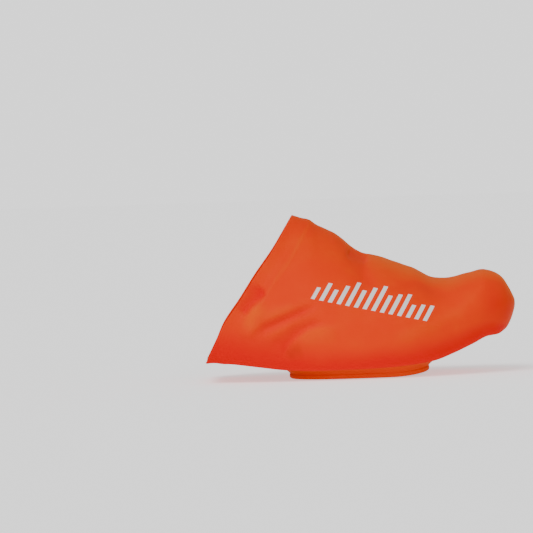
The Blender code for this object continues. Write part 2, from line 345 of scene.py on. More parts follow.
    def rear_edge_along(self, place: Place, side: Side, t: float) -> float:
        """Find by halving where a line of the skin meets the rear edge.

        Args:
            place: The part of the section that the line lies on.
            side: The side of the cover.
            t: Share of the way along that part, upwards.

        Returns:
            The share of the length at which the line starts.
        """
        lowest = float(self.sole_line(0.0)) + self.sole_camber
        low, high = 0.0, self.edge_search_end
        for _ in range(self.edge_search_steps):
            middle = (low + high) / 2
            height = float(self.point(place, side, t, np.array([middle]))[0, 2]) - lowest
            share = max(height / self.instep_depth, 0.0)
            forward = self.rear_edge_lean * float(self.rear_edge.at(share))
            if height > 0 and middle * self.length < forward:
                low = middle
            else:
                high = middle
        return high if low > 0 else 0.0


@dataclass(frozen=True)
class Fold:
    """A soft trough or ridge in the skin, on one side.

    path holds its places seen from the side: the share of the length from the rear edge, and the
    share of the instep depth above the floor. The other lengths are millimetres. height is negative
    for a trough, and above and below are its half widths. painted_shading paints shade that makes
    the latex redder along it, or a highlight that makes it paler where it is negative, and shade
    paints a shadow that makes it browner. fade is the share of its run over which it rises from its
    ends, where end_share of it is left.
    """

    name: str
    path: tuple[tuple[float, float], ...]
    height: float
    above: float
    below: float
    painted_shading: float = 0.0
    shade: float = 0.0
    fade: float = 0.3

    end_share: ClassVar[float] = 0.12
    crest_fade: ClassVar[float] = 9 * MM

    def reach(self, side: Side, form: StretchedForm, points: np.ndarray) -> np.ndarray:
        """How strongly the fold shows in the skin.

        Args:
            side: The side that it lies on.
            form: The form that it lies on.
            points: Points on the skin.

        Returns:
            1 on the middle of the fold, falling to 0 away from it, at each point.
        """
        path = np.array([(form.length * (a - 0.5), form.instep_depth * h) for a, h in self.path])
        steps = np.linalg.norm(np.diff(path, axis=0), axis=1)
        starts = np.concatenate([[0.0], np.cumsum(steps)])
        flat = points[:, [0, 2]]
        best = np.full(len(points), np.inf)
        run = np.zeros(len(points))
        above = np.ones(len(points), bool)
        for i, step in enumerate(steps):
            way = (path[i + 1] - path[i]) / step
            offset = flat - path[i]
            t = np.clip(offset @ way, 0.0, step)
            gap = offset - t[:, None] * way
            distance = np.linalg.norm(gap, axis=1)
            closer = distance < best
            best = np.where(closer, distance, best)
            run = np.where(closer, (starts[i] + t) / starts[-1], run)
            upward = way[0] * gap[:, 1] - way[1] * gap[:, 0] > 0
            above = np.where(closer, upward == (way[0] > 0), above)
        width = np.where(above, self.above, self.below) * MM
        faded = smooth(run, 0.0, self.fade) * smooth(1 - run, 0.0, self.fade)
        ends = self.end_share + (1 - self.end_share) * faded
        crest = form.crest_line(form.along_of(points[:, 0]))
        facing = smooth((points[:, 1] - crest) * side.value, 0.0, self.crest_fade)
        return bump_at(best, 0.0, width) * ends * facing


OUTER_FOLDS = (
    Fold("tuck at the rear edge", ((0.196, 0.597), (0.164, 0.55), (0.140, 0.504), (0.118, 0.449)),
         height=-2.2, above=5.0, below=1.9, painted_shading=0.55, fade=0.12),
    Fold("top of the tuck", ((0.135, 0.640), (0.169, 0.618), (0.196, 0.596)),
         height=-0.8, above=1.5, below=3.6, painted_shading=0.25, fade=0.15),
    Fold("pouch below the tuck", ((0.182, 0.53), (0.151, 0.43), (0.141, 0.34), (0.152, 0.27)),
         height=1.7, above=4.6, below=5.0, painted_shading=-0.22),
    Fold("swell above the upper fold", ((0.185, 0.41), (0.235, 0.458), (0.30, 0.50)),
         height=0.8, above=3.2, below=2.4, painted_shading=-0.14),
    Fold("upper drag fold",
         ((0.15, 0.30), (0.188, 0.364), (0.244, 0.409), (0.299, 0.453), (0.36, 0.508)),
         height=-2.0, above=1.9, below=3.4, painted_shading=0.36, fade=0.25),
    Fold("ridge between the folds",
         ((0.165, 0.265), (0.243, 0.352), (0.299, 0.415), (0.365, 0.473)),
         height=0.8, above=2.0, below=2.6, painted_shading=-0.12),
    Fold("slack between the folds", ((0.20, 0.205), (0.25, 0.293), (0.318, 0.388)),
         height=-1.2, above=3.2, below=3.6, painted_shading=0.17),
    Fold("lower drag fold",
         ((0.236, 0.165), (0.257, 0.248), (0.281, 0.294), (0.321, 0.355), (0.375, 0.394)),
         height=-1.4, above=2.8, below=1.1, painted_shading=0.28, fade=0.2),
    Fold("swell ahead of the folds", ((0.270, 0.215), (0.303, 0.290), (0.35, 0.330), (0.43, 0.343)),
         height=1.2, above=2.4, below=6.5, painted_shading=-0.18),
    Fold("hollow below the lower fold", ((0.252, 0.15), (0.275, 0.195), (0.31, 0.215)),
         height=-0.4, above=4.0, below=4.0, shade=0.26),
    Fold("dent below the instep", ((0.458, 0.845), (0.490, 0.800), (0.530, 0.765)),
         height=-1.5, above=3.4, below=3.6, painted_shading=0.32, fade=0.2),
    Fold("line down from the dent", ((0.500, 0.765), (0.512, 0.665), (0.545, 0.58)),
         height=-0.5, above=3.0, below=3.2, painted_shading=0.14),
    Fold("crease over the toes", ((0.60, 0.58), (0.678, 0.610), (0.724, 0.560), (0.800, 0.500)),
         height=-0.5, above=2.8, below=3.8, painted_shading=0.10),
    Fold("pull towards the toe", ((0.905, 0.575), (0.807, 0.418), (0.688, 0.314), (0.575, 0.255)),
         height=0.5, above=4.0, below=4.0, painted_shading=-0.10),
    Fold("hollow of the toe", ((0.885, 0.585), (0.925, 0.465), (0.956, 0.42)),
         height=-0.5, above=7.0, below=5.5, painted_shading=0.17),
    Fold("tuck under the toe", ((0.90, 0.24), (0.94, 0.265), (0.965, 0.30)),
         height=-0.8, above=2.4, below=2.0, painted_shading=0.20),
)

INNER_FOLDS = (
    Fold("inner drag fold", ((0.14, 0.30), (0.22, 0.35), (0.31, 0.44)),
         height=-1.5, above=5.0, below=2.8, painted_shading=0.40),
    Fold("inner lower fold", ((0.22, 0.18), (0.27, 0.26), (0.35, 0.33)),
         height=-1.3, above=4.6, below=2.6, painted_shading=0.35),
    Fold("inner ridge", ((0.19, 0.25), (0.26, 0.31), (0.33, 0.38)),
         height=0.8, above=3.6, below=3.0, painted_shading=-0.15),
    Fold("inner dent", ((0.44, 0.84), (0.48, 0.77), (0.53, 0.70)),
         height=-1.1, above=4.5, below=6.0, painted_shading=0.30),
)


class RidgeWave(NamedTuple):
    """A soft step of the ridge line: its place along the length, and two sizes in millimetres."""

    along: float
    lift: float
    half_width: float


@dataclass(frozen=True)
class RidgeLine:
    """The soft steps of the ridge line over instep and toes, which fade out below the ridge."""

    fade_start: float = 0.72
    fade_end: float = 0.98
    least_depth: float = 1 * MM
    waves: tuple[RidgeWave, ...] = (
        RidgeWave(0.300, 0.35, 3.5),
        RidgeWave(0.365, -0.30, 3.0),
        RidgeWave(0.420, 0.25, 2.6),
        RidgeWave(0.470, -0.35, 2.4),
        RidgeWave(0.500, 0.45, 3.0),
        RidgeWave(0.600, -0.25, 3.4),
        RidgeWave(0.672, 0.45, 3.6),
        RidgeWave(0.735, -0.30, 3.6),
        RidgeWave(0.840, 0.20, 4.0),
    )

    def lift(self, form: StretchedForm, points: np.ndarray) -> np.ndarray:
        """How far the steps lift the skin.

        Args:
            form: The form.
            points: Points on the skin.

        Returns:
            The lift at each point.
        """
        along = form.along_of(points[:, 0])
        depth = np.maximum(form.depth(along), self.least_depth)
        up = (points[:, 2] - form.sole_line(along)) / depth
        total = np.zeros(len(points))
        for wave in self.waves:
            width = wave.half_width * MM / form.length
            total += wave.lift * MM * bump_at(along, wave.along, width)
        return total * smooth(up, self.fade_start, self.fade_end)


class RedLimit(NamedTuple):
    """How far up the deep red reaches, as a share of the depth, at a share of the length."""

    along: float
    up: float


@dataclass(frozen=True)
class ToneWithPaintedLight:
    """How red the latex is: 0 where it is palest, middle over the vamp and 1 low on the sides.

    The deep red low on the sides and on the toe is painted shade where they turn under, and partly
    the latex's own colour, and the paleness along the top is a painted highlight. Past tip_start
    the tones follow slower sections, so that they don't run to a point at the toe.
    """

    middle: float = 0.35
    red_fade: float = 0.17
    toe_red_and_shade: float = 0.40
    toe_start: float = 0.84
    toe_low: float = 0.45
    toe_high: float = 0.95
    top_painted_highlight: float = 0.32
    top_start: float = 0.80
    top_highlight_start: float = 0.40
    top_highlight_full: float = 0.60
    tip_start: float = 0.92
    tip_share: float = 0.6
    limits: tuple[RedLimit, ...] = (
        RedLimit(0.00, 0.120),
        RedLimit(0.20, 0.100),
        RedLimit(0.37, 0.045),
        RedLimit(0.50, 0.060),
        RedLimit(0.60, 0.090),
        RedLimit(0.78, 0.190),
        RedLimit(0.90, 0.160),
        RedLimit(1.00, 0.110),
    )

    def at(self, form: StretchedForm, points: np.ndarray) -> np.ndarray:
        """Read the tone.

        Args:
            form: The form.
            points: Points on the surface.

        Returns:
            The tone at each point.
        """
        along = form.along_of(points[:, 0])
        slowed = self.tip_start + self.tip_share * (along - self.tip_start)
        held = np.where(along > self.tip_start, slowed, along)
        up = (points[:, 2] - form.sole_line(held)) / form.depth(held)
        limit = Curve(*zip(*self.limits)).at(along)
        # Painted shade: a deeper red low on the sides and on the toe, where they turn under, partly
        # the latex's own colour.
        low = 1 - smooth(up, limit / 2, limit + self.red_fade)
        toe = smooth(along, self.toe_start, 1.0) * (1 - smooth(up, self.toe_low, self.toe_high))
        # A painted highlight: paler along the top of the instep and toes.
        top = smooth(up, self.top_start, 1.0) * smooth(along, self.top_highlight_start, self.top_highlight_full)
        red = (1 - self.middle) * np.maximum(low, self.toe_red_and_shade * toe)
        return np.clip(self.middle + red - self.top_painted_highlight * top, 0.0, 1.0)


def grid_faces(rows: int, columns: int, closed: bool = False) -> np.ndarray:
    """Faces of a grid of points.

    Args:
        rows: Number of rows.
        columns: Number of points in a row.
        closed: Whether the last column joins the first.

    Returns:
        The four corners of each face.
    """
    last = columns if closed else columns - 1
    r, c = np.meshgrid(np.arange(rows - 1), np.arange(last), indexing="ij")
    row, row_above = r * columns, (r + 1) * columns
    after = (c + 1) % columns
    corners = [row + c, row + after, row_above + after, row_above + c]
    return np.stack(corners, axis=-1).reshape(-1, 4)


@dataclass
class Skin:
    """An open outer surface, ready to be given a wall.

    kept says which points of its grid it uses.
    """

    points: np.ndarray
    faces: list[list[int]]
    kept: np.ndarray

    weld_digits: ClassVar[int] = 8

    @classmethod
    def from_grid(cls, points: np.ndarray, faces: np.ndarray) -> "Skin":
        """Make points that coincide one, and drop the faces that this leaves flat.

        Args:
            points: The grid's points.
            faces: The four corners of each of its faces.

        Returns:
            The skin.
        """
        rounded = np.round(points, cls.weld_digits)
        _, kept, where = np.unique(rounded, axis=0, return_index=True, return_inverse=True)
        welded = [list(dict.fromkeys(face)) for face in where.ravel()[faces].tolist()]
        return cls(points[kept], [face for face in welded if len(face) > 2], kept)

    def normals(self) -> np.ndarray:
        """Work out the outward directions.

        Returns:
            The direction at each point.
        """
        total = np.zeros_like(self.points)
        for count in (3, 4):
            alike = [face for face in self.faces if len(face) == count]
            if not alike:
                continue
            faces = np.array(alike, int)
            a, b, c, d = (self.points[faces[:, k]] for k in (0, 1, 2, -1))
            cross = np.cross(c - a, d - b) if count == 4 else np.cross(b - a, c - a)
            for k in range(count):
                np.add.at(total, faces[:, k], cross)
        return total / np.maximum(np.linalg.norm(total, axis=1, keepdims=True), TINY * MM)

    def border(self) -> dict[int, int]:
        """Find the open edges.

        Returns:
            The point that follows each point of the border.
        """
        edges = set()
        for face in self.faces:
            for a, b in zip(face, face[1:] + face[:1]):
                if (b, a) in edges:
                    edges.remove((b, a))
                else:
                    edges.add((a, b))
        return dict(edges)


def link(name: str, data: bpy.types.ID) -> bpy.types.Object:
    """Make an object of a mesh, light or camera, and link it to the scene.

    Args:
        name: Its name.
        data: The mesh, light or camera.

    Returns:
        The object.
    """
    made = bpy.data.objects.new(name, data)
    bpy.context.scene.collection.objects.link(made)
    return made


def marked_mesh(
    name: str, points: np.ndarray, faces: list[list[int]], marks: dict[str, np.ndarray]
) -> bpy.types.Object:
    """Make a smooth mesh that carries marks for its material.

    Args:
        name: Its name.
        points: Its points.
        faces: The corners of its faces.
        marks: A value at each point, for each mark.

    Returns:
        The object, linked to the scene.
    """
    mesh = bpy.data.meshes.new(name)
    mesh.from_pydata(points.tolist(), [], faces)
    mesh.validate()
    mesh.shade_smooth()
    for mark, values in marks.items():
        layer = mesh.attributes.new(mark, "FLOAT", "POINT")
        layer.data.foreach_set("value", values.astype(np.float32))
    return link(name, mesh)


@dataclass
class WalledMesh:
    """A skin with its wall, inner face and rounded edges."""

    name: str
    skin: Skin
    wall: np.ndarray
    marks: dict[str, np.ndarray]
    edge_steps: int = 5

    def build(self) -> bpy.types.Object:
        """Make the object, with the mark inside set to 1 on its inner face.

        Returns:
            The object, linked to the scene.
        """
        outer, normal = self.skin.points, self.skin.normals()
        inner = outer - normal * self.wall[:, None]
        count = len(outer)
        points = [outer, inner]
        faces = [list(face) for face in self.skin.faces]
        faces += [[corner + count for corner in face[::-1]] for face in self.skin.faces]
        following = self.skin.border()
        before = {b: a for a, b in following.items()}
        order = list(following)
        run = np.array([outer[following[i]] - outer[before[i]] for i in order])
        away = np.cross(run, normal[order])
        away /= np.maximum(np.linalg.norm(away, axis=1, keepdims=True), TINY * MM)
        half = (outer[order] - inner[order]) / 2
        radius = self.wall[order][:, None] / 2
        rows = [order]
        total = 2 * count
        source = [np.arange(count), np.arange(count)]
        for step in range(1, self.edge_steps):
            turn = math.pi * step / self.edge_steps
            middle = inner[order] + half * (1 + math.cos(turn))
            points.append(middle + away * radius * math.sin(turn))
            source.append(np.array(order))
            rows.append(list(range(total, total + len(order))))
            total += len(order)
        rows.append([i + count for i in order])
        index = {point: k for k, point in enumerate(order)}
        for first, second in zip(rows[:-1], rows[1:]):
            for point, after in following.items():
                a, b = index[point], index[after]
                faces.append([first[b], first[a], second[a], second[b]])
        where = np.concatenate(source)
        marks = {mark: values[where] for mark, values in self.marks.items()}
        marks["inside"] = np.zeros(total)
        marks["inside"][count : 2 * count] = 1.0
        return marked_mesh(self.name, np.concatenate(points), faces, marks)


@dataclass(frozen=True)
class Hem:
    """The thicker band round the rear edge, with a bead on the edge and a fine line at its end."""

    width: float = 11.0 * MM
    wall: float = 1.2 * MM
    wall_step: float = 1.0 * MM
    rise: float = 0.22 * MM
    rise_inside: float = 0.8 * MM
    rise_outside: float = 0.6 * MM
    bead: float = 0.35 * MM
    bead_width: float = 1.0 * MM
    slack: float = 0.30 * MM
    slack_place: float = 0.45
    slack_width: float = 0.24
    line: float = 0.16 * MM
    line_width: float = 0.9 * MM
    line_least: float = 0.2
    line_low: float = 34 * MM
    line_full: float = 56 * MM

    def ended(self, behind: np.ndarray, height: np.ndarray) -> np.ndarray:
        """Trace the line where the hem ends, which is fainter near the floor.

        Args:
            behind: Distances from the rear edge.
            height: Heights above the floor.

        Returns:
            1 on the line, falling to 0 away from it, at each place.
        """
        risen = smooth(height, self.line_low, self.line_full)
        strength = self.line_least + (1 - self.line_least) * risen
        return strength * bump_at(behind, self.width, self.line_width)

    def lift(self, behind: np.ndarray, height: np.ndarray) -> np.ndarray:
        """How far the hem lifts the skin.

        Args:
            behind: Distances from the rear edge.
            height: Heights above the floor.

        Returns:
            The lift at each place.
        """
        start, end = self.width - self.rise_inside, self.width + self.rise_outside
        band = self.rise * (1 - smooth(behind, start, end))
        bead = self.bead * bump_at(behind, 0.0, self.bead_width)
        middle, width = self.slack_place * self.width, self.slack_width * self.width
        slack = self.slack * bump_at(behind, middle, width)
        return band + bead - slack + self.line * self.ended(behind, height)

    def wall_at(self, behind: np.ndarray, wall: float) -> np.ndarray:
        """The wall's thickness, which falls from the hem's to the given one."""
        thinned = smooth(behind, self.width - self.wall_step, self.width)
        return wall + (self.wall - wall) * (1 - thinned)


class CoverPiece:
    """A piece of the cover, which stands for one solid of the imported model."""

    node: ClassVar[str]

    def build(self) -> bpy.types.Object:
        """Make the piece's mesh, which each piece does in its own way."""
        raise NotImplementedError

    def dress(self, material: bpy.types.Material) -> None:
        """Build the piece, give it its material and let it stand for its solid.

        Args:
            material: Its finish.
        """
        piece, node = self.build(), self.node
        piece.data.materials.append(material)
        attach(piece, "root")
        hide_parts(node)
        LOG.info("%s: %d faces for %s", piece.name, len(piece.data.polygons), node)


@dataclass
class Upper(CoverPiece):
    """The stretched skin over toe, vamp and sides, with its hem and folds."""

    form: StretchedForm
    hem: Hem
    ridge_line: RidgeLine = RidgeLine()
    tone: ToneWithPaintedLight = ToneWithPaintedLight()
    wall: float = 0.7 * MM
    rows: int = 190
    wrap_steps: int = 6
    flank_steps: int = 34
    crown_steps: int = 62
    tip_crowding: float = 1.7
    fold_start: float = 1 * MM
    fold_full: float = 6 * MM
    hem_line_highlight: float = 0.14

    node: ClassVar[str] = "upper"

    def lines(self) -> list[tuple[Place, Side, float]]:
        """List the lines that run from rear edge to toe, round the whole section.

        Returns:
            The place, the side and the share of the way up of each line.
        """
        up = [(Place.WRAP, i / self.wrap_steps) for i in range(self.wrap_steps)]
        up += [(Place.FLANK, i / self.flank_steps) for i in range(self.flank_steps)]
        up += [(Place.CROWN, i / self.crown_steps) for i in range(self.crown_steps)]
        outer = [(place, Side.OUTER, t) for place, t in up]
        inner = [(place, Side.INNER, t) for place, t in up[::-1]]
        return outer + [(Place.CROWN, Side.OUTER, 1.0)] + inner

    def smooth_skin(self) -> tuple[Skin, np.ndarray]:
        """Make the skin before its folds.

        Returns:
            The skin, and the distance of each of its points from the rear edge.
        """
        form = self.form
        run = 1 - (1 - np.arange(self.rows + 1) / self.rows) ** self.tip_crowding
        columns, distances = [], []
        for place, side, t in self.lines():
            start = form.rear_edge_along(place, side, t)
            along = start + (1 - start) * run
            columns.append(form.point(place, side, t, along))
            distances.append((along - start) * form.length)
        grid = np.stack(columns, axis=1)
        skin = Skin.from_grid(grid.reshape(-1, 3), grid_faces(*grid.shape[:2])[:, ::-1])
        return skin, np.stack(distances, axis=1).reshape(-1)[skin.kept]

    def build(self) -> bpy.types.Object:
        """Make the upper.

        Returns:
            The object that stands for the upper.
        """
        form = self.form
        skin, behind = self.smooth_skin()
        height = skin.points[:, 2]
        above_sole = height - form.sole_line(form.along_of(skin.points[:, 0]))
        shown = smooth(above_sole, self.fold_start, self.fold_full)
        lift = self.ridge_line.lift(form, skin.points)
        # The folds paint shade along their troughs, highlights along their ridges and a shadow into
        # the hollow below the lower fold.
        painted_shading, shade = np.zeros(len(height)), np.zeros(len(height))
        for side, folds in ((Side.OUTER, OUTER_FOLDS), (Side.INNER, INNER_FOLDS)):
            for fold in folds:
                LOG.debug("%s side: %s", side.name.lower(), fold.name)
                reach = fold.reach(side, form, skin.points)
                lift += fold.height * MM * reach * shown
                painted_shading += fold.painted_shading * reach
                shade += fold.shade * reach
        lift += self.hem.lift(behind, height)
        # A painted highlight along the line where the hem ends.
        painted_shading -= self.hem_line_highlight * self.hem.ended(behind, height)
        skin.points = skin.points + skin.normals() * lift[:, None]
        marks = {
            "tone": np.clip(self.tone.at(form, skin.points) + painted_shading, 0.0, 1.0),
            "shade": np.clip(shade, 0.0, 1.0),
        }
        wall = self.hem.wall_at(behind, self.wall)
        return WalledMesh("upper_skin", skin, wall, marks).build()


@dataclass
class Opening:
    """The opening under the ball, with the sizes of its rim and lip."""

    form: StretchedForm
    length: float = 75.0 * MM
    width: float = 58.0 * MM
    ahead: float = 0.485
    start: float = 50.9 * MM
    squareness: float = 2.7
    rim_width: float = 3.4 * MM
    rim_depth: float = 2.7 * MM
    rim_toe_lift: float = 1.7 * MM
    rim_flat_share: float = 0.74
    lip_setback: float = 0.4 * MM
    lip_flare: float = 5.6 * MM

    def middle(self) -> tuple[float, float]:
        """X and Y of the middle of the opening, on its widest line."""
        x = -self.form.length / 2 + self.start + self.length * (1 - self.ahead)
        return x, float(self.form.centre_line(self.form.along_of(x)))

    def outline(self, angles: np.ndarray, out: float) -> np.ndarray:
        """Points round the opening.

        Args:
            angles: Directions from its middle.
            out: How far outwards the outline is grown.

        Returns:
            X and Y of each point.
        """
        x, y = self.middle()
        share = np.where(np.cos(angles) > 0, self.ahead, 1 - self.ahead)
        long_part = np.abs(np.cos(angles) / (self.length * share + out)) ** self.squareness
        short_part = np.abs(np.sin(angles) / (self.width / 2 + out)) ** self.squareness
        reach = (long_part + short_part) ** (-1 / self.squareness)
        return np.stack([x + reach * np.cos(angles), y + reach * np.sin(angles)], axis=-1)

    def rim_floor(self, x: np.ndarray) -> np.ndarray:
        """Height of the rim's underside: flat on the floor, and lifting at its front.

        Args:
            x: Places along the cover.

        Returns:
            The height at each place.
        """
        share = (x + self.form.length / 2 - self.start) / self.length
        run = np.maximum((share - self.rim_flat_share) / (1 - self.rim_flat_share), 0.0)
        return self.rim_toe_lift * run**2


class ProfilePoint(NamedTuple):
    """A point of a cross section, in shares of its width and its height."""

    out: float
    up: float


@dataclass
class SolePanel(CoverPiece):
    """The panel underneath, with the lip that turns down round the opening."""

    form: StretchedForm
    opening: Opening
    hem: Hem
    wall: float = 1.0 * MM
    seam: float = 0.05 * MM
    side_points: int = 80
    front_points: int = 40
    rear_points: int = 40
    lip_rings: int = 18
    panel_rings: int = 26
    # red is the flat panel's tone; the turned-down lip fades to the palest tone, a painted
    # highlight, over lip_fade.
    red: float = 0.6
    lip_fade: float = 0.5 * MM
    profile: tuple[ProfilePoint, ...] = (
        ProfilePoint(0.00, 0.00),
        ProfilePoint(0.10, 0.24),
        ProfilePoint(0.26, 0.50),
        ProfilePoint(0.48, 0.74),
        ProfilePoint(0.73, 0.91),
        ProfilePoint(1.00, 1.00),
    )

    node: ClassVar[str] = "sole"

    def outline(self) -> np.ndarray:
        """Run round the panel, anticlockwise from its rear outer corner.

        Returns:
            X and Y of each point.
        """
        form = self.form
        body = np.linspace(0.0, form.sole_front_round, self.side_points, endpoint=False)
        quarter = np.pi / 2 * np.linspace(0.0, 1.0, self.front_points, endpoint=False)
        turn = np.sin(quarter) ** (2 / form.sole_front_squareness)
        round_front = form.sole_front_round + (form.sole_front - form.sole_front_round) * turn
        places = np.concatenate([body, round_front])
        reach = form.panel_half_width(places) - self.seam
        centre = form.centre_line(places)
        x = form.x_of(places)
        tip = form.x_of(form.sole_front) - self.seam
        front = np.array([[tip, form.centre_line(form.sole_front)]])
        across = np.linspace(1.0, -1.0, self.rear_points + 1)[1:-1]
        rear = np.stack([np.full(len(across), x[0]), centre[0] + reach[0] * across], axis=-1)
        outer = np.stack([x, centre - reach], axis=-1)
        inner = np.stack([x, centre + reach], axis=-1)[::-1]
        return np.concatenate([outer, front, inner, rear])

    def sole_height(self, flat: np.ndarray) -> np.ndarray:
        """Height of the flat part at X and Y of each point."""
        return self.form.sole_height(self.form.along_of(flat[:, 0]), flat[:, 1])

    def rings(self) -> list[np.ndarray]:
        """Lay rings of points from the lip's lower end out to the panel's edge.

        Returns:
            X, Y and Z of each ring's points.
        """
        opening = self.opening
        edge = self.outline()
        away = edge - np.array(opening.middle())
        angles = np.arctan2(away[:, 1], away[:, 0])
        steps = [math.dist(a, b) for a, b in zip(self.profile[:-1], self.profile[1:])]
        places = np.concatenate([[0.0], np.cumsum(steps)])
        out_curve, up_curve = (Curve(places, column) for column in zip(*self.profile))
        rings = []
        for place in np.linspace(0.0, places[-1], self.lip_rings):
            out = opening.rim_width - opening.lip_setback
            flat = opening.outline(angles, out + opening.lip_flare * float(out_curve.at(place)))
            low = opening.rim_floor(flat[:, 0]) + opening.rim_depth
            z = low + float(up_curve.at(place)) * (self.sole_height(flat) - low)
            rings.append(np.column_stack([flat, z]))
        lip = rings[-1][:, :2]
        for share in np.linspace(0.0, 1.0, self.panel_rings + 1)[1:]:
            flat = lip + (edge - lip) * share
            rings.append(np.column_stack([flat, self.sole_height(flat)]))
        return rings

    def build(self) -> bpy.types.Object:
        """Make the sole panel.

        Returns:
            The object that stands for the sole.
        """
        grid = np.stack(self.rings())
        skin = Skin.from_grid(grid.reshape(-1, 3), grid_faces(*grid.shape[:2], closed=True))
        x, y, z = skin.points.T
        painted_lip_highlight = smooth(self.sole_height(skin.points[:, :2]) - z, 0.0, self.lip_fade)
        behind = x - self.form.x_of(0.0)
        skin.points[:, 2] -= self.hem.lift(behind, z)
        # The turned-down lip takes the palest tone: a painted highlight, as if lit from below.
        marks = {"tone": self.red * (1 - painted_lip_highlight), "shade": np.zeros(len(x))}
        wall = self.hem.wall_at(behind, self.wall)
        return WalledMesh("sole_panel", skin, wall, marks).build()


@dataclass
class RolledRim(CoverPiece):
    """The rolled rim round the opening, on which the cover stands."""

    opening: Opening
    points: int = 260
    corner_cuts: int = 2
    corner_share: float = 0.25
    profile: tuple[ProfilePoint, ...] = (
        ProfilePoint(0.12, 1.00),
        ProfilePoint(0.00, 0.78),
        ProfilePoint(0.00, 0.30),
        ProfilePoint(0.07, 0.08),
        ProfilePoint(0.22, 0.00),
        ProfilePoint(0.70, 0.00),
        ProfilePoint(0.90, 0.12),
        ProfilePoint(1.00, 0.38),
        ProfilePoint(1.00, 0.76),
        ProfilePoint(0.90, 1.00),
    )

    node: ClassVar[str] = "cleat_rim"

    def rounded_profile(self) -> list[ProfilePoint]:
        """Cut the corners of the cross section again and again, but keep its flat underside.

        Returns:
            The points of the rounded cross section.
        """
        shape = list(self.profile)
        near, far = 1 - self.corner_share, self.corner_share
        for _ in range(self.corner_cuts):
            cut = []
            for a, b in zip(shape, shape[1:] + shape[:1]):
                if a.up == 0.0 and b.up == 0.0:
                    cut += [a, b]
                    continue
                cut.append(ProfilePoint(near * a.out + far * b.out, near * a.up + far * b.up))
                cut.append(ProfilePoint(far * a.out + near * b.out, far * a.up + near * b.up))
            shape = cut
        return shape

    def build(self) -> bpy.types.Object:
        """Make the rim.

        Returns:
            The object that stands for the rim.
        """
        opening = self.opening
        angles = np.linspace(0.0, 2 * np.pi, self.points, endpoint=False)
        loops = []
        for out, up in self.rounded_profile():
            flat = opening.outline(angles, out * opening.rim_width)
            z = opening.rim_floor(flat[:, 0]) + up * opening.rim_depth
            loops.append(np.column_stack([flat, z]))
        grid = np.stack(loops + loops[:1])
        skin = Skin.from_grid(grid.reshape(-1, 3), grid_faces(*grid.shape[:2], closed=True))
        # The rim bead takes the palest tone, a painted highlight, with no shade.
        marks = dict.fromkeys(("tone", "shade", "inside"), np.zeros(len(skin.points)))
        return marked_mesh("rim_bead", skin.points, skin.faces, marks)


class NodeGraph:
    """A short way to add nodes to a tree and join them."""

    def __init__(self, tree: bpy.types.NodeTree) -> None:
        """Keep the tree."""
        self.tree = tree

    def add(self, kind: str, settings: dict | None = None, **inputs: Feed) -> bpy.types.Node:
        """Add a node.

        Args:
            kind: The node's type.
            settings: Values for its properties.
            inputs: Values or sockets for its inputs, by name with underscores for spaces, or by
                number after the letter i.

        Returns:
            The node.
        """
        node = self.tree.nodes.new(kind)
        for key, value in (settings or {}).items():
            setattr(node, key, value)
        for key, value in inputs.items():
            numbered = key[0] == "i" and key[1:].isdigit()
            name = int(key[1:]) if numbered else key.replace("_", " ")
            self.feed(node.inputs[name], value)
        return node

    def feed(self, socket: bpy.types.NodeSocket, value: Feed) -> None:
        """Give an input a value, or join an output to it.

        Args:
            socket: The input.
            value: The value or the output.
        """
        if isinstance(value, bpy.types.NodeSocket):
            self.tree.links.new(value, socket)
        else:
            socket.default_value = value

    def maths(self, operation: str, first: Feed, second: Feed) -> bpy.types.NodeSocket:
        """Work out one number from two."""
        return self.add("ShaderNodeMath", {"operation": operation}, i0=first, i1=second).outputs[0]

    def mix(self, share: Feed, first: Feed, second: Feed) -> bpy.types.NodeSocket:
        """Mix two colours."""
        settings = {"data_type": "RGBA", "blend_type": "MIX"}
        return self.add("ShaderNodeMix", settings, i0=share, i6=first, i7=second).outputs[2]

    def ramp(self, value: Feed, low: Feed, high: Feed) -> bpy.types.NodeSocket:
        """Rise from 0 at low to 1 at high, and stay there."""
        node = self.add("ShaderNodeMapRange", Value=value, From_Min=low, From_Max=high)
        return node.outputs["Result"]

    def noise(self, scale: Feed, detail: float, roughness: float) -> bpy.types.NodeSocket:
        """Spread a cloudy noise over the object, its scale counted per metre."""
        values = {"Scale": scale, "Detail": detail, "Roughness": roughness}
        return self.add("ShaderNodeTexNoise", Vector=self.object_place(), **values).outputs["Fac"]

    def object_place(self) -> bpy.types.NodeSocket:
        """The place on the object, in metres."""
        return self.add("ShaderNodeTexCoord").outputs["Object"]

    def mark(self, name: str) -> bpy.types.NodeSocket:
        """Read a mark of the mesh."""
        return self.add("ShaderNodeAttribute", {"attribute_name": name}).outputs["Fac"]


def node_group(name: str, inputs: tuple[str, ...], outputs: tuple[str, ...]) -> NodeGraph:
    """Start a shader node group whose sockets all carry a number.

    Args:
        name: Its name.
        inputs: The names of its inputs.
        outputs: The names of its outputs.

    Returns:
        The graph of the new group.
    """
    group = bpy.data.node_groups.new(name, "ShaderNodeTree")
    for names, way in ((inputs, "INPUT"), (outputs, "OUTPUT")):
        for socket in names:
            group.interface.new_socket(name=socket, in_out=way, socket_type="NodeSocketFloat")
    return NodeGraph(group)


